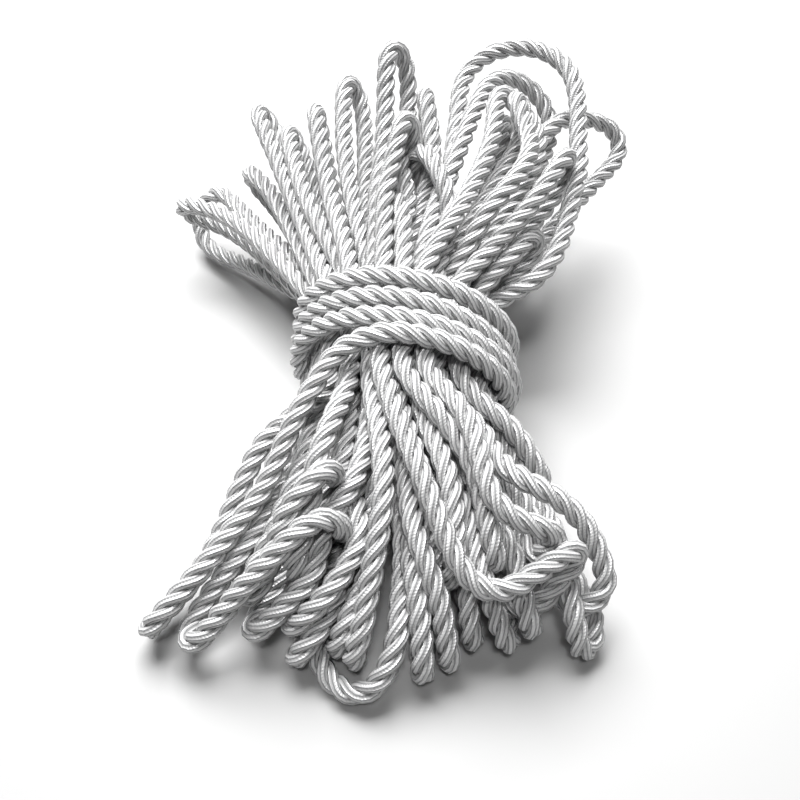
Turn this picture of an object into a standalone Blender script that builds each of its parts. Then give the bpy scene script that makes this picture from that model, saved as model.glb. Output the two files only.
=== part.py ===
"""A hank of twisted satin craft cord, bound round its middle by its own tail.

One cord runs back and forth through the waist and folds over at both ends. The near folds
lie in a pile on the surface and the far folds stand out in a fan. Run with
blender --background --python part.py, or from the Text editor. Millimetres in the tables,
metres in the scene, +Z up, +Y from the near folds to the far ones, origin under the binding.
"""

import math

import bmesh
import bpy
import numpy as np
from mathutils import Matrix

MM = 0.001

# The cord
CORD = 5.3
STEP = 3.0
CLOSEST = 4.95
LEAST_LOOP = 4
TIP_DRAW = 1.8

# The waist, an oval bundle of parallel runs that the binding holds, tilted up at the back
WAIST_WIDTH = 47.0
WAIST_HEIGHT = 39.0
WAIST_PLACE = (1.0, 1.4, 24.7)
WAIST_TILT = 6.0
WAIST_ROWS = (3, 6, 8, 9, 9, 8, 6, 2)
WAIST_REACH = 17.0
RUN_SPACING = 0.98 * CORD
FAN_START = 40.0
# The cord's last places, from where it leaves the waist to its end low in the fan
HIDDEN_END = ((0, 12, -2), (0, 30, -6))

# The binding, turns that stand askew across the hank, counted from its tail
TURNS = 3.6
MIDDLE_TURN = 1.8
TURN_SPACING = 5.5
SKEW = 0.23
SIDE_EASE = 1.012
TAIL_ANGLE = 128.0
# Each row is how far the binding strays from an even winding there: the turn, the
# distance along the hank, and the distance outwards, in millimetres.
TURN_SHIFTS = (
    (0.0, -5.5, 0.0),
    (0.04, -1.8, 0.0),
    (0.09, 1.0, 0.0),
    (0.2, 1.0, 0.0),
    (0.36, 0.8, -1.4),
    (0.6, -1.1, 0.0),
    (1.1, -0.3, 0.0),
    (1.36, -0.5, 0.3),
    (1.6, -1.1, 0.0),
    (2.1, 0.3, 0.0),
    (2.36, -1.4, -0.6),
    (2.6, -1.1, 0.0),
    (3.1, 1.1, 0.2),
    (3.36, 1.2, 0.6),
    (3.6, 0.5, 0.0),
)

# The spreading of the runs
ROUNDS = 140
LOOK_EVERY = 5
LOOK_AROUND = 3.5
SOFTENING = 0.18
RETURN_PULL = 0.02
EVENING = 0.35
LARGEST_MOVE = 1.2

# The solids
TAIL_POINTS = 7
SLEEVE_HALF = 14.0
SLEEVE_DEPTH = 30.0
CORE_PAST = 2.0
BORE_HALF = 60.0
FIT_GAP = 0.35
FOOT_SINK = 0.45
HANK_VOXEL = 1.25
BINDING_VOXEL = 1.1
FILLING = 0.6
SKIN_LOSS = 0.3
HANK_TRIANGLES = 10400
BINDING_TRIANGLES = 3000

# Each row is one fold: a place on its upper leg, its tip, a place on its lower leg, and
# the width between its legs, as x, y, z in millimetres.
FOLD_COLUMNS = ("over", "tip", "back", "width")
NEAR_FOLDS = (
    ((-31, -38, 22), (-56, -63, 6), (-43, -46, 10), 8),
    ((-18, -49, 31), (-47, -66, 6), (-30, -39, 18), 9),
    ((-16, -39, 37), (-34, -59, 13), (-25, -38, 22), 9),
    ((-17, -34, 37), (-22, -57, 19), (-16, -32, 24), 9),
    ((-14, -52, 23), (-33, -65, 8), (-23, -49, 12), 9),
    ((-12, -57, 21), (-24, -65, 8), (-16, -50, 10), 9),
    ((-10, -53, 19), (-23, -70, 5), (-14, -56, 7), 10),
    ((-9, -62, 17), (-15, -68, 6), (-11, -58, 6), 9),
    ((-3, -45, 34), (-11, -71, 7), (-10, -61, 7), 10),
    ((2, -63, 17), (-10, -77, 3), (-18, -61, 6), 18),
    ((3, -54, 21), (5, -74, 5), (4, -61, 6), 9),
    ((6, -55, 23), (11, -71, 5), (9, -61, 6), 9),
    ((12, -54, 21), (16, -66, 6), (15, -57, 8), 9),
    ((17, -52, 23), (24, -67, 6), (23, -57, 8), 9),
    ((23, -55, 22), (29, -65, 9), (27, -55, 9), 9),
    ((17, -65, 22), (39, -52, 22), (24, -63, 10), 9),
    ((40, -46, 26), (45, -57, 13), (37, -59, 10), 11),
    ((38, -60, 14), (41, -67, 3), (42, -61, 9), 5),
    ((19, -50, 34), (34, -52, 26), (29, -51, 16), 9),
    ((23, -20, 28), (33, -31, 15), (27, -21, 17), 9),
    ((16, -34, 34), (20, -56, 22), (18, -36, 18), 10),
    ((11, -38, 32), (13, -58, 18), (12, -38, 16), 10),
    ((28, -28, 20), (33, -44, 7), (30, -28, 9), 10),
    ((-29, -30, 17), (-37, -50, 6), (-28, -32, 7), 10),
    ((4, -38, 31), (6, -56, 17), (4, -38, 18), 10),
    ((-19, -32, 22), (-23, -50, 7), (-19, -34, 8), 10),
)
# Each row is a fold's number, counted from 0, one of its legs, and a place that this leg
# passes on its way from the waist. A leg's rows stand in order from the waist.
NEAR_HOOKS = (
    (0, "over", (-25, -26, 33)),
    (0, "back", (-32, -23, 26)),
    (1, "over", (-13, -47, 20)),
    (1, "over", (-11, -49, 27)),
    (2, "over", (-13, -39, 25)),
    (15, "over", (5, -43, 35)),
    (16, "over", (18, -23, 27)),
    (16, "over", (23, -39, 32)),
    (16, "over", (33, -43, 31)),
    (18, "over", (16, -32, 38)),
)
FAR_FOLDS = (
    ((-51, 74, 18), (-63, 77, 10), (-49, 61, 6), 21),
    ((-47, 55, 27), (-66, 68, 21), (-47, 59, 18), 7),
    ((-36, 62, 29), (-46, 79, 25), (-36, 67, 20), 10),
    ((-29, 51, 37), (-41, 88, 41), (-28, 64, 31), 10),
    ((-26, 47, 40), (-32, 80, 39), (-25, 60, 30), 10),
    ((-19, 46, 41), (-24, 79, 47), (-19, 57, 33), 10),
    ((-15, 57, 43), (-14, 91, 49), (-10, 73, 38), 10),
    ((-4, 60, 54), (-1, 83, 65), (3, 72, 49), 12),
    ((-3, 39, 49), (2, 63, 56), (1, 53, 42), 11),
    ((8, 61, 46), (7, 82, 51), (10, 71, 36), 11),
    ((14, 34, 45), (6, 56, 50), (8, 52, 36), 10),
    ((16, 68, 49), (37, 93, 59), (45, 40, 44), 35),
    ((18, 62, 52), (33, 88, 52), (44, 76, 42), 25),
    ((24, 52, 52), (31, 81, 51), (35, 66, 43), 14),
    ((34, 64, 53), (33, 75, 53), (39, 61, 44), 11),
    ((43, 76, 44), (66, 84, 35), (56, 68, 29), 14),
    ((32, 31, 48), (45, 50, 53), (43, 48, 41), 10),
    ((28, 22, 41), (35, 31, 41), (36, 31, 32), 10),
    ((1, 26, 45), (-1, 41, 45), (1, 37, 34), 10),
    ((-24, 40, 12), (-30, 62, 4), (-20, 42, 7), 10),
    ((-12, 44, 12), (-18, 70, 4), (-10, 44, 6), 10),
    ((-2, 44, 12), (-6, 76, 4), (0, 44, 6), 10),
    ((29, 68, 35), (32, 91, 36), (31, 68, 28), 9),
    ((28, 56, 34), (36, 84, 34), (30, 56, 28), 9),
    ((26, 40, 14), (33, 62, 4), (26, 42, 7), 10),
)
FAR_HOOKS = (
    (11, "back", (37, 19, 37)),
    (14, "over", (17, 21, 40)),
    (14, "over", (21, 30, 50)),
    (14, "over", (29, 36, 54)),
    (14, "over", (35, 49, 54)),
)


def folds_of(rows, hooks):
    """The folds of a table, each as its named columns, with the hooks added."""
    folds = [
        {name: np.array(value, float) for name, value in zip(FOLD_COLUMNS, row)} for row in rows
    ]
    for index, leg, place in hooks:
        folds[index].setdefault("hooks " + leg, []).append(np.array(place, float))
    return folds


def leg_path(fold, leg):
    """The places that this leg of a fold passes on its way to the tip."""
    return [*fold.get("hooks " + leg, ()), fold[leg]]


def from_waist(across, along, up):
    """World places of places in the waist's own frame, which is tilted."""
    lean = math.radians(WAIST_TILT)
    side, back, middle = WAIST_PLACE
    y = back + along * math.cos(lean) - up * math.sin(lean)
    z = middle + along * math.sin(lean) + up * math.cos(lean)
    return np.stack([across + side, y, z], axis=-1)


def to_waist(points):
    """Places in the waist's own frame, as three arrays: across, along and up."""
    lean = math.radians(WAIST_TILT)
    x, y, z = (points - WAIST_PLACE).T
    along = y * math.cos(lean) + z * math.sin(lean)
    return x, along, z * math.cos(lean) - y * math.sin(lean)


def slots():
    """The places of the runs in the waist, row by row, as (across, up)."""
    places = []
    row_step = (WAIST_HEIGHT - CORD) / (len(WAIST_ROWS) - 1)
    for row, count in enumerate(WAIST_ROWS):
        up = (WAIST_HEIGHT - CORD) / 2 - row * row_step
        places += [((i - (count - 1) / 2) * RUN_SPACING, up) for i in range(count)]
    return np.array(places)


def legs_to_slots(folds, places, skipped):
    """The slot of each leg, chosen so that the legs fan out of the waist without crossing."""
    legs = [leg_path(fold, leg)[0] for fold in folds for leg in ("over", "back")]
    legs = np.array(legs[skipped:])
    nearer = (FAN_START + WAIST_REACH) / (FAN_START + np.abs(legs[:, 1]))
    aim = np.stack([legs[:, 0], legs[:, 2] - WAIST_PLACE[2]], axis=1) * nearer[:, None]
    aim = (aim - aim.mean(0)) / aim.std(0)
    spot = (places - places.mean(0)) / places.std(0)
    gap = ((aim[:, None] - spot[None]) ** 2).sum(2)
    found = list(range(len(places)))
    better = True
    while better:
        better = False
        for a in range(len(places)):
            for b in range(a):
                now = sum(gap[k, found[k]] for k in (a, b) if k < len(legs))
                other = {a: b, b: a}
                then = sum(gap[k, found[other[k]]] for k in (a, b) if k < len(legs))
                if then < now - 1e-9:
                    found[a], found[b] = found[b], found[a]
                    better = True
    return [-1] * skipped + found[: len(legs)]


def chained(near, far):
    """The folds in the order in which one cord meets them, as (end, fold, first leg)."""
    order = []
    at_near = {slot: leg for leg, slot in enumerate(near) if slot >= 0}
    at_far = {slot: leg for leg, slot in enumerate(far)}
    leg = 0
    while True:
        order.append(("near", leg // 2, leg % 2))
        slot = near[leg ^ 1]
        if slot not in at_far:
            return order, slot
        leg = at_far[slot]
        order.append(("far", leg // 2, leg % 2))
        leg = at_near[far[leg ^ 1]]


def one_chain(near, far, places):
    """Swaps far legs between neighbouring slots until one cord runs through every fold."""
    while True:
        order, last = chained(near, far)
        met = {fold for end, fold, first in order if end == "far"}
        inside = [leg for leg in range(len(far)) if leg // 2 in met]
        outside = [leg for leg in range(len(far)) if leg // 2 not in met]
        if not outside:
            return order, last
        pairs = [
            (np.linalg.norm(places[far[a]] - places[far[b]]), a, b)
            for a in inside
            for b in outside
        ]
        a, b = min(pairs)[1:]
        far[a], far[b] = far[b], far[a]


def fold_points(fold, first):
    """The places that a fold's cord passes: leg, round the tip, and the other leg."""
    inward = fold["over"] - fold["tip"]
    outward = fold["back"] - fold["tip"]
    ahead = -(inward / np.linalg.norm(inward) + outward / np.linalg.norm(outward))
    ahead /= np.linalg.norm(ahead)
    side = fold["over"] - fold["back"]
    side -= ahead * side.dot(ahead)
    side /= np.linalg.norm(side)
    radius = float(fold["width"]) / 2
    middle = fold["tip"] + ahead * (TIP_DRAW - radius)
    bend = [
        middle + side * radius * math.cos(turn) + ahead * radius * math.sin(turn)
        for turn in np.linspace(0, math.pi, 5)
    ]
    path = [*leg_path(fold, "over"), *bend, *leg_path(fold, "back")[::-1]]
    return path if first == 0 else path[::-1]


def waist_points(slot, places, sign):
    """The ends of a run in the waist, from the side with this sign to the other."""
    across, up = places[slot]
    stops = np.array((1, 1 / 3, -1 / 3, -1)) * WAIST_REACH * sign
    return list(from_waist(np.full(4, across), stops, np.full(4, up)))


def binding_point(turn):
    """A place on the binding's helix, after this many turns from its tail."""
    angle = math.radians(TAIL_ANGLE) - math.tau * turn
    turns, strays, lifts = zip(*TURN_SHIFTS)
    out = CORD / 2 + np.interp(turn, turns, lifts)
    across = (WAIST_WIDTH / 2 + out) * math.cos(angle) * SIDE_EASE
    up = (WAIST_HEIGHT / 2 + out) * math.sin(angle)
    along = (turn - MIDDLE_TURN) * TURN_SPACING + np.interp(turn, turns, strays)
    return from_waist(across, along - SKEW * across, up)


def smooth(points, step):
    """A smooth curve through the points, sampled evenly."""
    points = np.array(points, float)
    ends = np.vstack([2 * points[0] - points[1], points, 2 * points[-1] - points[-2]])
    p0, p1, p2, p3 = ends[:-3], ends[1:-2], ends[2:-1], ends[3:]
    grain = 12
    t = (np.arange(grain) / grain)[None, :, None]
    p0, p1, p2, p3 = (p[:, None, :] for p in (p0, p1, p2, p3))
    curve = 0.5 * (
        2 * p1
        + (p2 - p0) * t
        + (2 * p0 - 5 * p1 + 4 * p2 - p3) * t**2
        + (3 * p1 - p0 - 3 * p2 + p3) * t**3
    )
    curve = np.vstack([curve.reshape(-1, 3), points[-1:]])
    along = np.concatenate([[0], np.cumsum(np.linalg.norm(np.diff(curve, axis=0), axis=1))])
    count = max(2, round(along[-1] / step) + 1)
    at = np.linspace(0, along[-1], count)
    return np.stack([np.interp(at, along, curve[:, k]) for k in range(3)], axis=1)


def touching(points, reach):
    """Pairs of places, not next to each other on the cord, that are within reach."""
    squares = (points**2).sum(1)
    apart = squares[:, None] + squares[None] - 2 * points @ points.T
    first, second = np.nonzero(apart < reach**2)
    keep = second > first + LEAST_LOOP
    return first[keep], second[keep]


def settled(points, held):
    """Spreads the runs until they stand a cord's width apart, above the surface."""
    start = points.copy()
    free = ~held
    limit_x, limit_z = (WAIST_WIDTH - CORD) / 2, (WAIST_HEIGHT - CORD) / 2
    for turn in range(ROUNDS):
        if turn % LOOK_EVERY == 0:
            first, second = touching(points, CORD + LOOK_AROUND)
        apart = points[first] - points[second]
        distance = np.maximum(np.linalg.norm(apart, axis=1), 1e-6)
        short = np.maximum(CLOSEST - distance, 0)
        push = apart * (0.5 * short / distance)[:, None]
        move = np.zeros_like(points)
        for axis in range(3):
            move[:, axis] += np.bincount(first, push[:, axis], len(points))
            move[:, axis] -= np.bincount(second, push[:, axis], len(points))
        move[1:-1] += SOFTENING * (0.5 * (points[:-2] + points[2:]) - points[1:-1])
        move += RETURN_PULL * (start - points)
        points = points + np.clip(move, -LARGEST_MOVE, LARGEST_MOVE) * free[:, None]
        gaps = np.diff(points, axis=0)
        length = np.linalg.norm(gaps, axis=1, keepdims=True)
        pull = EVENING * gaps * (1 - STEP / length)
        points[:-1] += pull * free[:-1, None]
        points[1:] -= pull * free[1:, None]
        across, along, up = to_waist(points)
        out = np.hypot(across / limit_x, up / limit_z)
        fix = (np.abs(along + SKEW * across) < WAIST_REACH - 1) & free & (out > 1)
        points[fix] = from_waist(across[fix] / out[fix], along[fix], up[fix] / out[fix])
        points[free, 2] = np.maximum(points[free, 2], CORD / 2)
    return points


def cord_route():
    """The settled middle line of the whole cord, and how many of its places are binding."""
    near = folds_of(NEAR_FOLDS, NEAR_HOOKS)
    far = folds_of(FAR_FOLDS, FAR_HOOKS)
    places = slots()
    near_slots = legs_to_slots(near, places, 1)
    far_slots = legs_to_slots(far, places, 0)
    order, last = one_chain(near_slots, far_slots, places)
    turns = [binding_point(turn) for turn in np.linspace(TURNS, 0, round(TURNS * 24) + 1)]
    route = [turns[-2], turns[-1]]
    for end, index, first in order:
        folds, used, sign = (near, near_slots, -1) if end == "near" else (far, far_slots, 1)
        route += fold_points(folds[index], first)
        slot = used[2 * index + 1 - first]
        route += waist_points(slot, places, sign)
    route += [route[-1] + np.array(place, float) for place in HIDDEN_END]
    hank = smooth(route, STEP)
    wound = smooth(turns[:-1], STEP)
    both = np.vstack([wound, hank[1:]])
    held = np.abs(to_waist(both)[1]) < WAIST_REACH - 3
    held[: len(wound) + 3] = True
    return settled(both, held), len(wound)


def tube(name, route, radius, sides_level):
    """A round tube along a route, as a mesh object."""
    curve = bpy.data.curves.new(name, "CURVE")
    curve.dimensions = "3D"
    curve.bevel_depth = radius * MM
    curve.bevel_resolution = sides_level
    curve.use_fill_caps = True
    spline = curve.splines.new("POLY")
    spline.points.add(len(route) - 1)
    for point, place in zip(spline.points, route):
        point.co = (*(place * MM), 1)
    shape = bpy.data.objects.new(name, curve)
    bpy.context.scene.collection.objects.link(shape)
    bpy.context.view_layer.update()
    graph = bpy.context.evaluated_depsgraph_get()
    mesh = bpy.data.meshes.new_from_object(shape.evaluated_get(graph))
    bpy.data.objects.remove(shape)
    return mesh


def fused(mesh, voxel, filling, triangles):
    """One closed skin round a wound tube, its narrow grooves filled, in few faces."""
    body = bpy.data.objects.new("Work", mesh)
    bpy.context.scene.collection.objects.link(body)
    skin = body.modifiers.new("Skin", "REMESH")
    skin.mode = "VOXEL"
    skin.voxel_size = voxel * MM
    draw_in = body.modifiers.new("DrawIn", "DISPLACE")
    draw_in.mid_level = 0
    draw_in.strength = -filling * MM
    again = body.modifiers.new("SkinAgain", "REMESH")
    again.mode = "VOXEL"
    again.voxel_size = voxel * MM
    body = outer_shell(applied(body))
    thin = body.modifiers.new("Thin", "DECIMATE")
    thin.use_collapse_triangulate = True
    count = sum(len(face.vertices) - 2 for face in body.data.polygons)
    thin.ratio = min(1.0, triangles / count)
    return applied(body)


def applied(body):
    """The object with its modifiers made part of its mesh."""
    bpy.context.view_layer.update()
    graph = bpy.context.evaluated_depsgraph_get()
    mesh = bpy.data.meshes.new_from_object(body.evaluated_get(graph))
    body.modifiers.clear()
    body.data = mesh
    return body


def outer_shell(body):
    """Leaves the largest connected skin and drops the closed pockets inside it."""
    shape = bmesh.new()
    shape.from_mesh(body.data)
    groups, seen = [], set()
    for vert in shape.verts:
        if vert in seen:
            continue
        group, edge = [], [vert]
        seen.add(vert)
        while edge:
            here = edge.pop()
            group.append(here)
            for link in here.link_edges:
                other = link.other_vert(here)
                if other not in seen:
                    seen.add(other)
                    edge.append(other)
        groups.append(group)
    groups.sort(key=len)
    bmesh.ops.delete(shape, geom=[v for group in groups[:-1] for v in group], context="VERTS")
    shape.to_mesh(body.data)
    shape.free()
    return body


def oval_prism(name, half_width, half_height, low, high):
    """An oval bar along the hank whose ends are cut askew, as the binding stands."""
    shape = bmesh.new()
    bmesh.ops.create_cone(
        shape, cap_ends=True, segments=64, radius1=1, radius2=1, depth=1, matrix=Matrix()
    )
    for vert in shape.verts:
        across, up = vert.co.x * half_width, vert.co.y * half_height
        along = (high if vert.co.z > 0 else low) - SKEW * across
        vert.co = from_waist(across, along, up) * MM
    if shape.calc_volume(signed=True) < 0:
        bmesh.ops.reverse_faces(shape, faces=shape.faces)
    return cutter(name, shape)


def surface_block(name):
    """A block under the surface that the hank rests on."""
    shape = bmesh.new()
    bmesh.ops.create_cube(shape, size=1, matrix=Matrix.Diagonal((0.5, 0.5, 0.1, 1)))
    bmesh.ops.translate(shape, verts=shape.verts, vec=(0, 0, -0.05))
    return cutter(name, shape)


def cutter(name, shape):
    mesh = bpy.data.meshes.new(name)
    shape.to_mesh(mesh)
    shape.free()
    body = bpy.data.objects.new(name, mesh)
    body.hide_render = True
    body.display_type = "WIRE"
    bpy.data.collections["Cutters"].objects.link(body)
    return body


def cut(body, tool, operation="DIFFERENCE"):
    step = body.modifiers.new(operation.title(), "BOOLEAN")
    step.operation = operation
    step.solver = "EXACT"
    step.object = tool


def satin():
    """Silver-white satin cord: pale, with a soft gloss."""
    material = bpy.data.materials.new("Silver white satin")
    material.use_nodes = True
    shader = material.node_tree.nodes["Principled BSDF"]
    shader.inputs["Base Color"].default_value = (0.72, 0.72, 0.74, 1)
    shader.inputs["Roughness"].default_value = 0.42
    shader.inputs["Metallic"].default_value = 0.0
    return material


def place(body, name, finish):
    """Names a finished piece and puts it in the hank's collection."""
    body.name = name
    body.data.name = name
    body.data.materials.clear()
    body.data.materials.append(finish)
    body.data.shade_smooth()
    bpy.context.scene.collection.objects.unlink(body)
    bpy.data.collections["CordHank"].objects.link(body)


def main():
    for old in list(bpy.data.objects):
        bpy.data.objects.remove(old)
    for name in ("CordHank", "Cutters"):
        bpy.context.scene.collection.children.link(bpy.data.collections.new(name))
    finish = satin()
    route, wound = cord_route()
    route[:, 2] -= FOOT_SINK
    wide = CORD / 2 + FILLING + SKIN_LOSS
    surface = surface_block("Surface")

    hank = tube("hank", route[wound - TAIL_POINTS :], wide, 2)
    hank = fused(hank, HANK_VOXEL, FILLING, HANK_TRIANGLES)
    half_width, half_height = WAIST_WIDTH / 2, WAIST_HEIGHT / 2
    outside = (half_width + SLEEVE_DEPTH, half_height + SLEEVE_DEPTH)
    sleeve = oval_prism("Sleeve", *outside, -SLEEVE_HALF, SLEEVE_HALF)
    past = SLEEVE_HALF + CORE_PAST
    core = oval_prism("Core", half_width, half_height, -past, past)
    cut(sleeve, core)
    cut(hank, sleeve)
    cut(hank, surface)
    place(hank, "hank", finish)

    binding = tube("binding", route[:wound], wide, 2)
    binding = fused(binding, BINDING_VOXEL, FILLING, BINDING_TRIANGLES)
    grown = (half_width + FIT_GAP, half_height + FIT_GAP)
    cut(binding, oval_prism("Bore", *grown, -BORE_HALF, BORE_HALF))
    reach = SLEEVE_HALF - FIT_GAP
    cut(binding, oval_prism("Band", *outside, -reach, reach), "INTERSECT")
    cut(binding, surface)
    place(binding, "binding", finish)


main()
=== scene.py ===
"""The looks of a hank of silver-white twisted satin cord, bound round its middle.

The cord's middle line is worked out as in the solids' own source: a table of folds, joined
through the waist by one cord and spread until the runs stand a cord's width apart. Here the
three plies of the cord are laid round that line, each with the ridges of its yarns.
"""

import math

import bmesh
import bpy
import numpy as np
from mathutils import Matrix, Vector


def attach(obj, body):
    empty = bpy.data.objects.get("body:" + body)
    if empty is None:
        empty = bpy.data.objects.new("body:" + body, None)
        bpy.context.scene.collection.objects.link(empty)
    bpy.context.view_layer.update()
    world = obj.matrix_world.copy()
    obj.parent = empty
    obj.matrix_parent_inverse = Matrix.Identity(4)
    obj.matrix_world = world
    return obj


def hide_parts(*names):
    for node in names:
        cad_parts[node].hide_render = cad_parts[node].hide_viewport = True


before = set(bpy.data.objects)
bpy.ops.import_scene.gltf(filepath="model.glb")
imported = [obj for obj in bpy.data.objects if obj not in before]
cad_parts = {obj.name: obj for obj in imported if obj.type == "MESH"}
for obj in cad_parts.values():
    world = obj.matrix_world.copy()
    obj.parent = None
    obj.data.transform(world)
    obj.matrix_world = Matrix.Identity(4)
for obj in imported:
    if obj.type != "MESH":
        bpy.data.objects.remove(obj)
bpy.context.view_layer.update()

bl_info = {
    "name": "Twisted cord hank",
    "version": (1, 0, 0),
    "blender": (4, 5, 0),
    "location": "View3D > Sidebar > Cord hank",
    "description": "Lays, binds and finishes a hank of twisted satin craft cord",
    "category": "Add Mesh",
}

MM = 0.001

# The cord
CORD = 5.3
STEP = 3.0
CLOSEST = 4.95
LEAST_LOOP = 4
TIP_DRAW = 1.8

# The waist, an oval bundle of parallel runs that the binding holds, tilted up at the back
WAIST_WIDTH = 47.0
WAIST_HEIGHT = 39.0
WAIST_PLACE = (1.0, 1.4, 24.7)
WAIST_TILT = 6.0
WAIST_ROWS = (3, 6, 8, 9, 9, 8, 6, 2)
WAIST_REACH = 17.0
RUN_SPACING = 0.98 * CORD
FAN_START = 40.0
# The cord's last places, from where it leaves the waist to its end low in the fan
HIDDEN_END = ((0, 12, -2), (0, 30, -6))

# The binding, turns that stand askew across the hank, counted from its tail
TURNS = 3.6
MIDDLE_TURN = 1.8
TURN_SPACING = 5.5
SKEW = 0.23
SIDE_EASE = 1.012
TAIL_ANGLE = 128.0
# Each row is how far the binding strays from an even winding there: the turn, the
# distance along the hank, and the distance outwards, in millimetres.
TURN_SHIFTS = (
    (0.0, -5.5, 0.0),
    (0.04, -1.8, 0.0),
    (0.09, 1.0, 0.0),
    (0.2, 1.0, 0.0),
    (0.36, 0.8, -1.4),
    (0.6, -1.1, 0.0),
    (1.1, -0.3, 0.0),
    (1.36, -0.5, 0.3),
    (1.6, -1.1, 0.0),
    (2.1, 0.3, 0.0),
    (2.36, -1.4, -0.6),
    (2.6, -1.1, 0.0),
    (3.1, 1.1, 0.2),
    (3.36, 1.2, 0.6),
    (3.6, 0.5, 0.0),
)

# Places taken on one turn of the binding, and round the tip of one fold
TURN_PLACES = 24
TIP_PLACES = 5

# The spreading of the runs
ROUNDS = 140
LOOK_EVERY = 5
LOOK_AROUND = 3.5
SOFTENING = 0.18
RETURN_PULL = 0.02
EVENING = 0.35
LARGEST_MOVE = 1.2

# Each row is one fold: a place on its upper leg, its tip, a place on its lower leg, and
# the width between its legs, as x, y, z in millimetres.
FOLD_COLUMNS = ("over", "tip", "back", "width")
NEAR_FOLDS = (
    ((-31, -38, 22), (-56, -63, 6), (-43, -46, 10), 8),
    ((-18, -49, 31), (-47, -66, 6), (-30, -39, 18), 9),
    ((-16, -39, 37), (-34, -59, 13), (-25, -38, 22), 9),
    ((-17, -34, 37), (-22, -57, 19), (-16, -32, 24), 9),
    ((-14, -52, 23), (-33, -65, 8), (-23, -49, 12), 9),
    ((-12, -57, 21), (-24, -65, 8), (-16, -50, 10), 9),
    ((-10, -53, 19), (-23, -70, 5), (-14, -56, 7), 10),
    ((-9, -62, 17), (-15, -68, 6), (-11, -58, 6), 9),
    ((-3, -45, 34), (-11, -71, 7), (-10, -61, 7), 10),
    ((2, -63, 17), (-10, -77, 3), (-18, -61, 6), 18),
    ((3, -54, 21), (5, -74, 5), (4, -61, 6), 9),
    ((6, -55, 23), (11, -71, 5), (9, -61, 6), 9),
    ((12, -54, 21), (16, -66, 6), (15, -57, 8), 9),
    ((17, -52, 23), (24, -67, 6), (23, -57, 8), 9),
    ((23, -55, 22), (29, -65, 9), (27, -55, 9), 9),
    ((17, -65, 22), (39, -52, 22), (24, -63, 10), 9),
    ((40, -46, 26), (45, -57, 13), (37, -59, 10), 11),
    ((38, -60, 14), (41, -67, 3), (42, -61, 9), 5),
    ((19, -50, 34), (34, -52, 26), (29, -51, 16), 9),
    ((23, -20, 28), (33, -31, 15), (27, -21, 17), 9),
    ((16, -34, 34), (20, -56, 22), (18, -36, 18), 10),
    ((11, -38, 32), (13, -58, 18), (12, -38, 16), 10),
    ((28, -28, 20), (33, -44, 7), (30, -28, 9), 10),
    ((-29, -30, 17), (-37, -50, 6), (-28, -32, 7), 10),
    ((4, -38, 31), (6, -56, 17), (4, -38, 18), 10),
    ((-19, -32, 22), (-23, -50, 7), (-19, -34, 8), 10),
)
# Each row is a fold's number, counted from 0, one of its legs, and a place that this leg
# passes on its way from the waist. A leg's rows stand in order from the waist.
NEAR_HOOKS = (
    (0, "over", (-25, -26, 33)),
    (0, "back", (-32, -23, 26)),
    (1, "over", (-13, -47, 20)),
    (1, "over", (-11, -49, 27)),
    (2, "over", (-13, -39, 25)),
    (15, "over", (5, -43, 35)),
    (16, "over", (18, -23, 27)),
    (16, "over", (23, -39, 32)),
    (16, "over", (33, -43, 31)),
    (18, "over", (16, -32, 38)),
)
FAR_FOLDS = (
    ((-51, 74, 18), (-63, 77, 10), (-49, 61, 6), 21),
    ((-47, 55, 27), (-66, 68, 21), (-47, 59, 18), 7),
    ((-36, 62, 29), (-46, 79, 25), (-36, 67, 20), 10),
    ((-29, 51, 37), (-41, 88, 41), (-28, 64, 31), 10),
    ((-26, 47, 40), (-32, 80, 39), (-25, 60, 30), 10),
    ((-19, 46, 41), (-24, 79, 47), (-19, 57, 33), 10),
    ((-15, 57, 43), (-14, 91, 49), (-10, 73, 38), 10),
    ((-4, 60, 54), (-1, 83, 65), (3, 72, 49), 12),
    ((-3, 39, 49), (2, 63, 56), (1, 53, 42), 11),
    ((8, 61, 46), (7, 82, 51), (10, 71, 36), 11),
    ((14, 34, 45), (6, 56, 50), (8, 52, 36), 10),
    ((16, 68, 49), (37, 93, 59), (45, 40, 44), 35),
    ((18, 62, 52), (33, 88, 52), (44, 76, 42), 25),
    ((24, 52, 52), (31, 81, 51), (35, 66, 43), 14),
    ((34, 64, 53), (33, 75, 53), (39, 61, 44), 11),
    ((43, 76, 44), (66, 84, 35), (56, 68, 29), 14),
    ((32, 31, 48), (45, 50, 53), (43, 48, 41), 10),
    ((28, 22, 41), (35, 31, 41), (36, 31, 32), 10),
    ((1, 26, 45), (-1, 41, 45), (1, 37, 34), 10),
    ((-24, 40, 12), (-30, 62, 4), (-20, 42, 7), 10),
    ((-12, 44, 12), (-18, 70, 4), (-10, 44, 6), 10),
    ((-2, 44, 12), (-6, 76, 4), (0, 44, 6), 10),
    ((29, 68, 35), (32, 91, 36), (31, 68, 28), 9),
    ((28, 56, 34), (36, 84, 34), (30, 56, 28), 9),
    ((26, 40, 14), (33, 62, 4), (26, 42, 7), 10),
)
FAR_HOOKS = (
    (11, "back", (37, 19, 37)),
    (14, "over", (17, 21, 40)),
    (14, "over", (21, 30, 50)),
    (14, "over", (29, 36, 54)),
    (14, "over", (35, 49, 54)),
)


def folds_of(rows, hooks):
    """The folds of a table, each as its named columns, with the hooks added."""
    folds = [
        {name: np.array(value, float) for name, value in zip(FOLD_COLUMNS, row)} for row in rows
    ]
    for index, leg, place in hooks:
        folds[index].setdefault("hooks " + leg, []).append(np.array(place, float))
    return folds


def leg_path(fold, leg):
    """The places that this leg of a fold passes on its way to the tip."""
    return [*fold.get("hooks " + leg, ()), fold[leg]]


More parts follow.
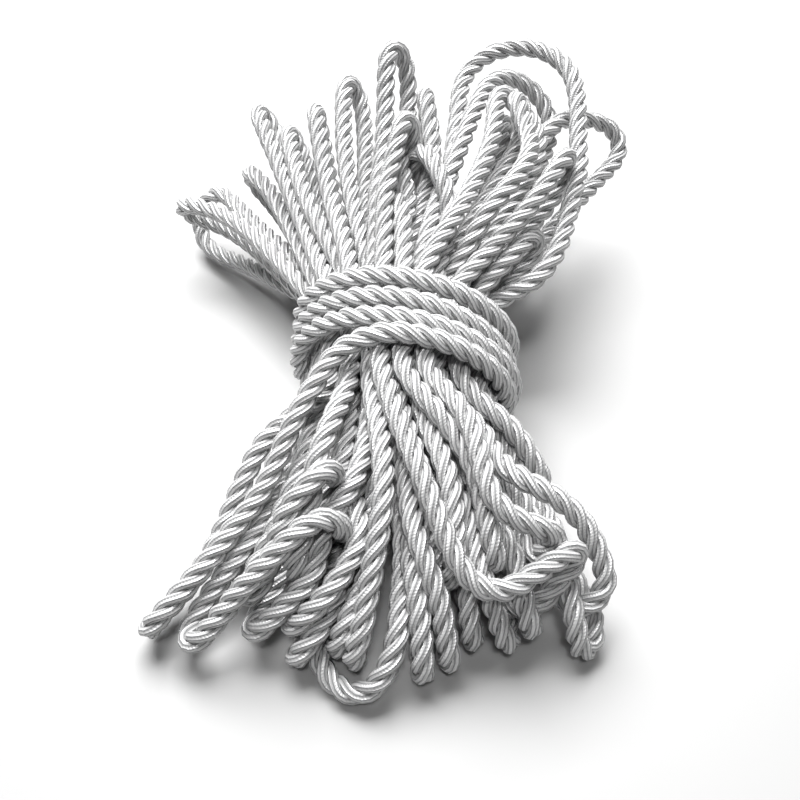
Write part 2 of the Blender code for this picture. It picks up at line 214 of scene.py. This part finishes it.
def from_waist(across, along, up):
    """World places of places in the waist's own frame, which is tilted."""
    lean = math.radians(WAIST_TILT)
    side, back, middle = WAIST_PLACE
    y = back + along * math.cos(lean) - up * math.sin(lean)
    z = middle + along * math.sin(lean) + up * math.cos(lean)
    return np.stack([across + side, y, z], axis=-1)


def to_waist(points):
    """Places in the waist's own frame, as three arrays: across, along and up."""
    lean = math.radians(WAIST_TILT)
    x, y, z = (points - WAIST_PLACE).T
    along = y * math.cos(lean) + z * math.sin(lean)
    return x, along, z * math.cos(lean) - y * math.sin(lean)


def slots():
    """The places of the runs in the waist, row by row, as (across, up)."""
    places = []
    row_step = (WAIST_HEIGHT - CORD) / (len(WAIST_ROWS) - 1)
    for row, count in enumerate(WAIST_ROWS):
        up = (WAIST_HEIGHT - CORD) / 2 - row * row_step
        places += [((i - (count - 1) / 2) * RUN_SPACING, up) for i in range(count)]
    return np.array(places)


def legs_to_slots(folds, places, skipped):
    """The slot of each leg, chosen so that the legs fan out of the waist without crossing."""
    legs = [leg_path(fold, leg)[0] for fold in folds for leg in ("over", "back")]
    legs = np.array(legs[skipped:])
    nearer = (FAN_START + WAIST_REACH) / (FAN_START + np.abs(legs[:, 1]))
    aim = np.stack([legs[:, 0], legs[:, 2] - WAIST_PLACE[2]], axis=1) * nearer[:, None]
    aim = (aim - aim.mean(0)) / aim.std(0)
    spot = (places - places.mean(0)) / places.std(0)
    gap = ((aim[:, None] - spot[None]) ** 2).sum(2)
    found = list(range(len(places)))
    better = True
    while better:
        better = False
        for a in range(len(places)):
            for b in range(a):
                now = sum(gap[k, found[k]] for k in (a, b) if k < len(legs))
                other = {a: b, b: a}
                then = sum(gap[k, found[other[k]]] for k in (a, b) if k < len(legs))
                if then < now - 1e-9:
                    found[a], found[b] = found[b], found[a]
                    better = True
    return [-1] * skipped + found[: len(legs)]


def chained(near, far):
    """The folds in the order in which one cord meets them, as (end, fold, first leg)."""
    order = []
    at_near = {slot: leg for leg, slot in enumerate(near) if slot >= 0}
    at_far = {slot: leg for leg, slot in enumerate(far)}
    leg = 0
    while True:
        order.append(("near", leg // 2, leg % 2))
        slot = near[leg ^ 1]
        if slot not in at_far:
            return order, slot
        leg = at_far[slot]
        order.append(("far", leg // 2, leg % 2))
        leg = at_near[far[leg ^ 1]]


def one_chain(near, far, places):
    """Swaps far legs between neighbouring slots until one cord runs through every fold."""
    while True:
        order, last = chained(near, far)
        met = {fold for end, fold, first in order if end == "far"}
        inside = [leg for leg in range(len(far)) if leg // 2 in met]
        outside = [leg for leg in range(len(far)) if leg // 2 not in met]
        if not outside:
            return order, last
        pairs = [
            (np.linalg.norm(places[far[a]] - places[far[b]]), a, b)
            for a in inside
            for b in outside
        ]
        a, b = min(pairs)[1:]
        far[a], far[b] = far[b], far[a]


def fold_points(fold, first):
    """The places that a fold's cord passes: leg, round the tip, and the other leg."""
    inward = fold["over"] - fold["tip"]
    outward = fold["back"] - fold["tip"]
    ahead = -(inward / np.linalg.norm(inward) + outward / np.linalg.norm(outward))
    ahead /= np.linalg.norm(ahead)
    side = fold["over"] - fold["back"]
    side -= ahead * side.dot(ahead)
    side /= np.linalg.norm(side)
    radius = float(fold["width"]) / 2
    middle = fold["tip"] + ahead * (TIP_DRAW - radius)
    bend = [
        middle + side * radius * math.cos(turn) + ahead * radius * math.sin(turn)
        for turn in np.linspace(0, math.pi, TIP_PLACES)
    ]
    path = [*leg_path(fold, "over"), *bend, *leg_path(fold, "back")[::-1]]
    return path if first == 0 else path[::-1]


def waist_points(slot, places, sign):
    """The ends of a run in the waist, from the side with this sign to the other."""
    across, up = places[slot]
    stops = np.array((1, 1 / 3, -1 / 3, -1)) * WAIST_REACH * sign
    return list(from_waist(np.full(4, across), stops, np.full(4, up)))


def binding_point(turn):
    """A place on the binding's helix, after this many turns from its tail."""
    angle = math.radians(TAIL_ANGLE) - math.tau * turn
    turns, strays, lifts = zip(*TURN_SHIFTS)
    out = CORD / 2 + np.interp(turn, turns, lifts)
    across = (WAIST_WIDTH / 2 + out) * math.cos(angle) * SIDE_EASE
    up = (WAIST_HEIGHT / 2 + out) * math.sin(angle)
    along = (turn - MIDDLE_TURN) * TURN_SPACING + np.interp(turn, turns, strays)
    return from_waist(across, along - SKEW * across, up)


def smooth(points, step):
    """A smooth curve through the points, sampled evenly."""
    points = np.array(points, float)
    ends = np.vstack([2 * points[0] - points[1], points, 2 * points[-1] - points[-2]])
    p0, p1, p2, p3 = ends[:-3], ends[1:-2], ends[2:-1], ends[3:]
    grain = 12
    t = (np.arange(grain) / grain)[None, :, None]
    p0, p1, p2, p3 = (p[:, None, :] for p in (p0, p1, p2, p3))
    curve = 0.5 * (
        2 * p1
        + (p2 - p0) * t
        + (2 * p0 - 5 * p1 + 4 * p2 - p3) * t**2
        + (3 * p1 - p0 - 3 * p2 + p3) * t**3
    )
    curve = np.vstack([curve.reshape(-1, 3), points[-1:]])
    along = np.concatenate([[0], np.cumsum(np.linalg.norm(np.diff(curve, axis=0), axis=1))])
    count = max(2, round(along[-1] / step) + 1)
    at = np.linspace(0, along[-1], count)
    return np.stack([np.interp(at, along, curve[:, k]) for k in range(3)], axis=1)


def touching(points, reach):
    """Pairs of places, not next to each other on the cord, that are within reach."""
    squares = (points**2).sum(1)
    apart = squares[:, None] + squares[None] - 2 * points @ points.T
    first, second = np.nonzero(apart < reach**2)
    keep = second > first + LEAST_LOOP
    return first[keep], second[keep]


def settled(points, held):
    """Spreads the runs until they stand a cord's width apart, above the surface."""
    start = points.copy()
    free = ~held
    limit_x, limit_z = (WAIST_WIDTH - CORD) / 2, (WAIST_HEIGHT - CORD) / 2
    for turn in range(ROUNDS):
        if turn % LOOK_EVERY == 0:
            first, second = touching(points, CORD + LOOK_AROUND)
        apart = points[first] - points[second]
        distance = np.maximum(np.linalg.norm(apart, axis=1), 1e-6)
        short = np.maximum(CLOSEST - distance, 0)
        push = apart * (0.5 * short / distance)[:, None]
        move = np.zeros_like(points)
        for axis in range(3):
            move[:, axis] += np.bincount(first, push[:, axis], len(points))
            move[:, axis] -= np.bincount(second, push[:, axis], len(points))
        move[1:-1] += SOFTENING * (0.5 * (points[:-2] + points[2:]) - points[1:-1])
        move += RETURN_PULL * (start - points)
        points = points + np.clip(move, -LARGEST_MOVE, LARGEST_MOVE) * free[:, None]
        gaps = np.diff(points, axis=0)
        length = np.linalg.norm(gaps, axis=1, keepdims=True)
        pull = EVENING * gaps * (1 - STEP / length)
        points[:-1] += pull * free[:-1, None]
        points[1:] -= pull * free[1:, None]
        across, along, up = to_waist(points)
        out = np.hypot(across / limit_x, up / limit_z)
        fix = (np.abs(along + SKEW * across) < WAIST_REACH - 1) & free & (out > 1)
        points[fix] = from_waist(across[fix] / out[fix], along[fix], up[fix] / out[fix])
        points[free, 2] = np.maximum(points[free, 2], CORD / 2)
    return points


def cord_route():
    """The settled middle line of the whole cord, and how many of its places are binding."""
    near = folds_of(NEAR_FOLDS, NEAR_HOOKS)
    far = folds_of(FAR_FOLDS, FAR_HOOKS)
    places = slots()
    near_slots = legs_to_slots(near, places, 1)
    far_slots = legs_to_slots(far, places, 0)
    order, last = one_chain(near_slots, far_slots, places)
    counts = np.linspace(TURNS, 0, round(TURNS * TURN_PLACES) + 1)
    turns = [binding_point(count) for count in counts]
    route = [turns[-2], turns[-1]]
    for end, index, first in order:
        folds, used, sign = (near, near_slots, -1) if end == "near" else (far, far_slots, 1)
        route += fold_points(folds[index], first)
        slot = used[2 * index + 1 - first]
        route += waist_points(slot, places, sign)
    route += [route[-1] + np.array(place, float) for place in HIDDEN_END]
    hank = smooth(route, STEP)
    wound = smooth(turns[:-1], STEP)
    both = np.vstack([wound, hank[1:]])
    held = np.abs(to_waist(both)[1]) < WAIST_REACH - 3
    held[: len(wound) + 3] = True
    return settled(both, held), len(wound)


# The plies

HANK_PIECES = 6
# The way up that the first ply is counted from, where the cord starts
FIRST_UP = (0.0, 0.3, 1.0)
# How often the line is eased before the plies are laid, and the shares of a place's
# neighbours and of the place itself in that easing
EASINGS = 2
EASE_SHARES = (0.25, 0.5, 0.25)


def framed(route):
    """The route's directions with two side directions that turn as little as they can."""
    ahead = np.gradient(route, axis=0)
    ahead /= np.linalg.norm(ahead, axis=1, keepdims=True)
    side = np.cross(ahead[0], FIRST_UP)
    sides = np.empty_like(route)
    for i, way in enumerate(ahead):
        side = side - way * side.dot(way)
        side /= np.linalg.norm(side)
        sides[i] = side
    return ahead, sides, np.cross(ahead, sides)


def ply_lines(route, settings):
    """The middle lines of the plies, wound right-handed round the cord's own line."""
    ahead, sides, ups = framed(route)
    steps = np.linalg.norm(np.diff(route, axis=0), axis=1)
    along = np.concatenate([[0], np.cumsum(steps)])
    offset = CORD / 2 - settings.ply_width / MM / 2
    lines = []
    for k in range(settings.plies):
        turn = math.tau * (along / (settings.lay / MM) + k / settings.plies)
        lines.append(
            route + offset * (np.cos(turn)[:, None] * sides + np.sin(turn)[:, None] * ups)
        )
    return lines


def section_points(settings):
    """How many points a ply's section has: a crest and a groove for each yarn."""
    return settings.yarns * 2


def ply_profile(settings):
    """A ply's section: a round with one low ridge for each yarn."""
    outline = bpy.data.curves.new("PlySection", "CURVE")
    outline.dimensions = "2D"
    ring = outline.splines.new("POLY")
    count = section_points(settings)
    ring.points.add(count - 1)
    for i, point in enumerate(ring.points):
        turn = math.tau * i / count
        reach = settings.ply_width / 2 * (1 - (i % 2) * settings.yarn_depth)
        point.co = (reach * math.cos(turn), reach * math.sin(turn), 0, 1)
    ring.use_cyclic_u = True
    section = bpy.data.objects.new("PlySection", outline)
    bpy.context.scene.collection.objects.link(section)
    return section


def ply_skin(line, section, settings):
    """The skin of a whole ply along this line as a mesh, its UV map in millimetres."""
    curve = bpy.data.curves.new("Ply", "CURVE")
    curve.dimensions = "3D"
    curve.bevel_mode = "OBJECT"
    curve.bevel_object = section
    spline = curve.splines.new("POLY")
    spline.points.add(len(line) - 1)
    places = np.ones((len(line), 4))
    places[:, :3] = line * MM
    spline.points.foreach_set("co", places.ravel())
    spline.use_smooth = True
    shape = bpy.data.objects.new("Ply", curve)
    bpy.context.scene.collection.objects.link(shape)
    bpy.context.view_layer.update()
    graph = bpy.context.evaluated_depsgraph_get()
    mesh = bpy.data.meshes.new_from_object(shape.evaluated_get(graph))
    bpy.data.objects.remove(shape)
    span = np.linalg.norm(np.diff(line, axis=0), axis=1).sum()
    stretch_map(mesh, span, math.pi * settings.ply_width / MM)
    return mesh


def stretch_map(mesh, span, girth):
    """Turns a ply's UV map, 0 to 1 each way, into millimetres along and round it."""
    layer = mesh.uv_layers[0]
    places = np.empty(len(layer.uv) * 2, np.float32)
    layer.uv.foreach_get("vector", places)
    places = places.reshape(-1, 2) * np.array((span, girth), np.float32)
    layer.uv.foreach_set("vector", places.ravel())


def plied(name, skins, first, last, settings):
    """The stretch of the plies from one ring of points to another, as one mesh object."""
    count = section_points(settings)
    joined = bmesh.new()
    for skin in skins:
        ply = bmesh.new()
        ply.from_mesh(skin)
        beyond = ply.verts[: first * count] + ply.verts[(last + 1) * count :]
        bmesh.ops.delete(ply, geom=beyond, context="VERTS")
        rims = [edge for edge in ply.edges if edge.is_boundary]
        for edge in rims:
            edge.smooth = False
        bmesh.ops.holes_fill(ply, edges=rims, sides=0)
        stretch = bpy.data.meshes.new("Stretch")
        ply.to_mesh(stretch)
        ply.free()
        joined.from_mesh(stretch)
        bpy.data.meshes.remove(stretch)
    mesh = bpy.data.meshes.new(name)
    joined.to_mesh(mesh)
    joined.free()
    piece = bpy.data.objects.new(name, mesh)
    bpy.context.scene.collection.objects.link(piece)
    return piece


def plied_cord(settings):
    """The cord's line, the skins of its plies, and the place on it where the binding ends."""
    route, wound = cord_route()
    before, here, after = EASE_SHARES
    for _ in range(EASINGS):
        route[1:-1] = before * route[:-2] + here * route[1:-1] + after * route[2:]
    fine = smooth(route, settings.fineness / MM)
    start = int(np.linalg.norm(fine - route[wound], axis=1).argmin())
    section = ply_profile(settings)
    skins = [ply_skin(line, section, settings) for line in ply_lines(fine, settings)]
    bpy.data.objects.remove(section)
    return fine, skins, start


def piece_ends(route, start):
    """Where the hank's pieces end, each in the middle of the waist where no cut shows."""
    along = to_waist(route)[1]
    middles = start + 1 + np.flatnonzero(np.diff(np.sign(along[start:])))
    wanted = start + np.arange(1, HANK_PIECES) * (len(route) - start) / HANK_PIECES
    inner = [int(middles[np.abs(middles - at).argmin()]) for at in wanted]
    return [start, *inner, len(route) - 1]


# Finishes

SATIN = "Rayon satin gimp"
SATIN_ROUGHNESS = 0.36
SATIN_METALLIC = 0.2
SATIN_ANISOTROPY = 0.6
SATIN_IOR = 1.5
# How far the windings lean as they go round a ply
WINDING_LEAN = 0.35
# Faint streaks along the yarns: how often they come along, round and through a millimetre,
# their detail, the part of the noise that is used, and the shades it stands for
STREAK_SCALE = (0.22, 2.4, 1.0)
STREAK_DETAIL = 4.0
STREAK_NOISE = (0.3, 0.7)
STREAK_SHADES = (0.86, 1.04)
# Where the painted shade in the groove ends and the satin's colour starts, from 0 in the groove to 1
# on top
PAINTED_SHADE_END = 0.05
SATIN_START = 0.5
# The strength of each relief, and its depth in millimetres
RIB_RELIEF = (0.6, 0.05)
YARN_RELIEF = (1.0, 0.24)
PAPER_ROUGHNESS = 0.9


def linear(hex_colour):
    """A linear colour with alpha from an sRGB hex value."""
    values = [int(hex_colour[i : i + 2], 16) / 255 for i in (1, 3, 5)]
    lit = [v / 12.92 if v <= 0.04045 else ((v + 0.055) / 1.055) ** 2.4 for v in values]
    return (*lit, 1.0)


def add(tree, kind, links=(), **settings):
    """Adds a node with its settings. links are (input, socket that feeds it) pairs."""
    node = tree.nodes.new(kind)
    for name, value in settings.items():
        if name.startswith("in_"):
            key = name[3:]
            key = int(key) if key.isdigit() else key.replace("_", " ")
            node.inputs[key].default_value = value
        else:
            setattr(node, name, value)
    for key, source in links:
        tree.links.new(source, node.inputs[key])
    return node


def new_material(name):
    """An empty material and its node tree."""
    material = bpy.data.materials.new(name)
    material.use_nodes = True
    material.node_tree.nodes.clear()
    return material, material.node_tree


def worked(tree, operation, *sources):
    """The output of a maths node fed by these sockets or numbers, in order."""
    node = add(tree, "ShaderNodeMath", operation=operation)
    for entry, source in zip(node.inputs, sources):
        if isinstance(source, bpy.types.NodeSocket):
            tree.links.new(source, entry)
        else:
            entry.default_value = source
    return node.outputs[0]


def relief(tree, height, strength, depth, links=()):
    """The direction that the surface faces with this height in relief on it."""
    links = [("Height", height), *links]
    node = add(tree, "ShaderNodeBump", links, in_Strength=strength, in_Distance=depth * MM)
    return node.outputs[0]


def yarn_crests(tree, around, settings):
    """A height that is 1 along the top of each yarn and 0 in the grooves between yarns."""
    girth = math.pi * settings.ply_width / MM
    phase = worked(tree, "MULTIPLY", around, math.pi / (girth / settings.yarns))
    return worked(tree, "ABSOLUTE", worked(tree, "COSINE", phase))


def winding_ribs(tree, along, around, settings):
    """A height that rises and falls once for each winding of the floss."""
    lean = worked(tree, "MULTIPLY", around, WINDING_LEAN)
    wound = worked(tree, "ADD", along, lean)
    return worked(tree, "SINE", worked(tree, "MULTIPLY", wound, math.tau / (settings.rib / MM)))


def streaks(tree, places):
    """Faint streaks along the yarns, as a shade for the colour."""
    spread = add(tree, "ShaderNodeMapping", [("Vector", places)], in_Scale=STREAK_SCALE)
    noise = add(
        tree,
        "ShaderNodeTexNoise",
        [("Vector", spread.outputs[0])],
        in_Scale=1.0,
        in_Detail=STREAK_DETAIL,
    )
    shade = add(
        tree,
        "ShaderNodeMapRange",
        [("Value", noise.outputs["Fac"])],
        in_From_Min=STREAK_NOISE[0],
        in_From_Max=STREAK_NOISE[1],
        in_To_Min=STREAK_SHADES[0],
        in_To_Max=STREAK_SHADES[1],
    )
    return shade.outputs[0]


def yarn_colour_and_painted_shade(tree, crest, settings):
    """Painted shade: grey in the grooves between yarns, where shade falls, and the satin's own colour
    on top.
    """
    colours = add(tree, "ShaderNodeValToRGB", [(0, crest)])
    painted_shade, satin = colours.color_ramp.elements
    # The grey in the grooves is painted shade, not a colour of the floss.
    painted_shade.color = linear(settings.painted_groove_hex)
    painted_shade.position = PAINTED_SHADE_END
    satin.color = linear(settings.satin_hex)
    satin.position = SATIN_START
    return colours.outputs[0]


def satin_gimp(settings):
    """Rayon satin gimp: floss wound close round each yarn, so it shines in bands along the
    yarn and shows the fine ribs of the winding. Its grey in the grooves between yarns is painted
    shade."""
    material, tree = new_material(SATIN)
    places = add(tree, "ShaderNodeTexCoord").outputs["UV"]
    parts = add(tree, "ShaderNodeSeparateXYZ", [(0, places)])
    along, around = parts.outputs["X"], parts.outputs["Y"]
    crest = yarn_crests(tree, around, settings)
    # The base colour carries painted shade: grey in the grooves between yarns.
    streaked = add(
        tree,
        "ShaderNodeMix",
        [(6, yarn_colour_and_painted_shade(tree, crest, settings)), (7, streaks(tree, places))],
        data_type="RGBA",
        blend_type="MULTIPLY",
        in_0=1.0,
    )
    ribbed = relief(tree, winding_ribs(tree, along, around, settings), *RIB_RELIEF)
    facing = relief(tree, crest, *YARN_RELIEF, [("Normal", ribbed)])
    lie = add(tree, "ShaderNodeTangent", direction_type="UV_MAP")
    shader = add(
        tree,
        "ShaderNodeBsdfPrincipled",
        [
            ("Base Color", streaked.outputs[2]),
            ("Normal", facing),
            ("Tangent", lie.outputs[0]),
        ],
        in_Roughness=SATIN_ROUGHNESS,
        in_Metallic=SATIN_METALLIC,
        in_Anisotropic=SATIN_ANISOTROPY,
        in_IOR=SATIN_IOR,
    )
    add(tree, "ShaderNodeOutputMaterial", [("Surface", shader.outputs[0])])
    return material


def pale_surface(settings):
    """Matt white backdrop paper."""
    material, tree = new_material("Matt white paper")
    shader = add(tree, "ShaderNodeBsdfPrincipled", in_Roughness=PAPER_ROUGHNESS)
    shader.inputs["Base Color"].default_value = linear(settings.paper_hex)
    add(tree, "ShaderNodeOutputMaterial", [("Surface", shader.outputs[0])])
    return material


def finished(piece, node):
    """Gives a piece its finish and tells the frame what it stands for."""
    settings = bpy.context.scene.cord_hank
    satin = bpy.data.materials.get(SATIN) or satin_gimp(settings)
    piece.data.materials.clear()
    piece.data.materials.append(satin)
    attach(piece, "root")
    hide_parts(node)


# Stage

SURFACE_WIDTH = 6.0
# How far the surface lies under the cord, so that the two never flicker
SURFACE_DROP = 0.0002
FRAME_WIDTH = 36.0
NEAREST_SEEN = 0.01
# The lamps' places and sizes are in metres, their powers in watts.
SOFTBOX_PLACE = (-0.12, 0.42, 0.82)
SOFTBOX_AIM = (0, 0, 0)
SOFTBOX_WIDTH = 0.7
SOFTBOX_POWER = 27.0
SPOT_PLACE = (0, -0.25, 0.65)
SPOT_AIM = (0, -0.015, 0.04)
SPOT_POWER = 17.0
SPOT_DEGREES = 14
SPOT_BLEND = 1.0
SPOT_WIDTH = 0.08
ROUND_LIGHT = 0.09


def hung(scene, lamp, place, aim):
    """Puts a lamp in its place and turns it to face its aim."""
    holder = bpy.data.objects.new(lamp.name, lamp)
    holder.location = place
    holder.rotation_euler = (Vector(aim) - Vector(place)).to_track_quat("-Z", "Y").to_euler()
    scene.collection.objects.link(holder)


def softbox(scene):
    """A square soft lamp above the far end that faces the binding."""
    lamp = bpy.data.lights.new("softbox", "AREA")
    lamp.size = SOFTBOX_WIDTH
    lamp.energy = SOFTBOX_POWER
    hung(scene, lamp, SOFTBOX_PLACE, SOFTBOX_AIM)


def grid_spot(scene):
    """A gridded lamp from the front that lights the binding and what lies next to it."""
    lamp = bpy.data.lights.new("grid spot", "SPOT")
    lamp.energy = SPOT_POWER
    lamp.spot_size = math.radians(SPOT_DEGREES)
    lamp.spot_blend = SPOT_BLEND
    lamp.shadow_soft_size = SPOT_WIDTH
    hung(scene, lamp, SPOT_PLACE, SPOT_AIM)


def lit_world(scene):
    """Even white light from all round."""
    world = bpy.data.worlds.new("Studio white")
    world.use_nodes = True
    back = world.node_tree.nodes["Background"]
    back.inputs["Color"].default_value = (1, 1, 1, 1)
    back.inputs["Strength"].default_value = ROUND_LIGHT
    scene.world = world


def backdrop(scene, settings):
    """The pale surface that the hank lies on, which belongs to the stage."""
    shape = bmesh.new()
    bmesh.ops.create_grid(shape, x_segments=1, y_segments=1, size=SURFACE_WIDTH / 2)
    mesh = bpy.data.meshes.new("surface")
    shape.to_mesh(mesh)
    shape.free()
    mesh.materials.append(pale_surface(settings))
    floor = bpy.data.objects.new("surface", mesh)
    floor.location.z = -SURFACE_DROP
    scene.collection.objects.link(floor)


def placed_camera(scene, settings):
    """The camera in front of the hank, looking down on it."""
    camera = bpy.data.objects.new("camera", bpy.data.cameras.new("camera"))
    camera.location = (0, -settings.camera_back, settings.camera_height)
    camera.rotation_euler = (math.pi / 2 - settings.camera_tilt, 0, 0)
    camera.data.lens = settings.lens
    camera.data.sensor_width = FRAME_WIDTH
    camera.data.clip_start = NEAREST_SEEN
    scene.collection.objects.link(camera)
    scene.camera = camera


# Settings, operators and panel


class CordHankSettings(bpy.types.PropertyGroup):
    """The cord's make and colours"""

    plies: bpy.props.IntProperty(
        name="Plies", description="Plies twisted into the cord", default=3, min=2, max=5
    )
    ply_width: bpy.props.FloatProperty(
        name="Ply width",
        description="Width of one ply",
        default=0.00246,
        unit="LENGTH",
        subtype="DISTANCE",
        precision=5,
    )
    lay: bpy.props.FloatProperty(
        name="Lay",
        description="Length of cord in which a ply goes once round",
        default=0.0134,
        unit="LENGTH",
        subtype="DISTANCE",
        precision=5,
    )
    yarns: bpy.props.IntProperty(
        name="Yarns", description="Yarn ridges round a ply", default=8, min=4, max=12
    )
    yarn_depth: bpy.props.FloatProperty(
        name="Yarn depth",
        description="Depth of the groove between yarns as a share of the ply's radius",
        default=0.06,
        subtype="FACTOR",
        min=0.0,
        max=0.4,
    )
    rib: bpy.props.FloatProperty(
        name="Winding rib",
        description="Spacing of the floss windings, drawn coarser than the real 0.3 mm",
        default=0.0006,
        unit="LENGTH",
        subtype="DISTANCE",
        precision=5,
    )
    fineness: bpy.props.FloatProperty(
        name="Fineness",
        description="Length of cord between the rings of points that draw a ply",
        default=0.0012,
        unit="LENGTH",
        subtype="DISTANCE",
        precision=5,
    )
    satin_hex: bpy.props.StringProperty(
        name="Satin", description="Colour on the yarns, as an sRGB hex value", default="#cccccc"
    )
    # Painted shade: the grey painted in the grooves between yarns, standing in for the shade there.
    painted_groove_hex: bpy.props.StringProperty(
        name="Groove", description="Colour between the yarns, as an sRGB hex value", default="#808184"
    )


class StageSettings(bpy.types.PropertyGroup):
    """The surface and the camera"""

    paper_hex: bpy.props.StringProperty(
        name="Paper", description="Colour of the surface, as an sRGB hex value", default="#b0b0b0"
    )
    camera_height: bpy.props.FloatProperty(
        name="Camera height",
        description="Height of the camera over the surface",
        default=0.199,
        unit="LENGTH",
        subtype="DISTANCE",
    )
    camera_back: bpy.props.FloatProperty(
        name="Camera distance",
        description="How far the camera stands from the binding along the surface",
        default=0.163,
        unit="LENGTH",
        subtype="DISTANCE",
    )
    camera_tilt: bpy.props.FloatProperty(
        name="Camera tilt",
        description="How far the camera looks down",
        default=math.radians(49),
        unit="ROTATION",
        subtype="ANGLE",
    )
    lens: bpy.props.FloatProperty(
        name="Lens", description="Focal length on a 36 mm frame, in millimetres", default=42.75
    )


class CORDHANK_OT_lay_hank(bpy.types.Operator):
    """Lays the runs and folds of the hank as plied cord"""

    bl_idname = "cordhank.lay_hank"
    bl_label = "Lay the hank"

    def execute(self, context):
        settings = context.scene.cord_hank
        route, skins, start = plied_cord(settings)
        cuts = piece_ends(route, start)
        for i in range(HANK_PIECES):
            piece = plied(f"hank_cord_{i + 1}", skins, cuts[i], cuts[i + 1], settings)
            finished(piece, "hank")
        return {"FINISHED"}


class CORDHANK_OT_wind_binding(bpy.types.Operator):
    """Winds the turns of the binding as plied cord"""

    bl_idname = "cordhank.wind_binding"
    bl_label = "Wind the binding"

    def execute(self, context):
        settings = context.scene.cord_hank
        _, skins, start = plied_cord(settings)
        finished(plied("binding_cord", skins, 0, start, settings), "binding")
        return {"FINISHED"}


class CORDHANK_OT_set_stage(bpy.types.Operator):
    """Sets the pale surface, the soft light and the camera"""

    bl_idname = "cordhank.set_stage"
    bl_label = "Set the stage"

    def execute(self, context):
        settings = context.scene.cord_stage
        backdrop(context.scene, settings)
        lit_world(context.scene)
        softbox(context.scene)
        grid_spot(context.scene)
        placed_camera(context.scene, settings)
        context.scene.view_settings.view_transform = "Standard"
        return {"FINISHED"}


class CORDHANK_PT_panel(bpy.types.Panel):
    """The hank's settings and steps in the sidebar"""

    bl_label = "Cord hank"
    bl_idname = "CORDHANK_PT_panel"
    bl_space_type = "VIEW_3D"
    bl_region_type = "UI"
    bl_category = "Cord hank"

    def draw(self, context):
        for settings in (context.scene.cord_hank, context.scene.cord_stage):
            for name in settings.bl_rna.properties.keys():
                if name not in ("rna_type", "name"):
                    self.layout.prop(settings, name)
        for step in STEPS:
            self.layout.operator(step.bl_idname)


STEPS = (CORDHANK_OT_set_stage, CORDHANK_OT_lay_hank, CORDHANK_OT_wind_binding)
CLASSES = (CordHankSettings, StageSettings, *STEPS, CORDHANK_PT_panel)


def register():
    for kind in CLASSES:
        bpy.utils.register_class(kind)
    bpy.types.Scene.cord_hank = bpy.props.PointerProperty(type=CordHankSettings)
    bpy.types.Scene.cord_stage = bpy.props.PointerProperty(type=StageSettings)


def unregister():
    del bpy.types.Scene.cord_stage
    del bpy.types.Scene.cord_hank
    for kind in reversed(CLASSES):
        bpy.utils.unregister_class(kind)


def main():
    register()
    bpy.ops.cordhank.set_stage()
    bpy.ops.cordhank.lay_hank()
    bpy.ops.cordhank.wind_binding()


if __name__ == "__main__":
    main()
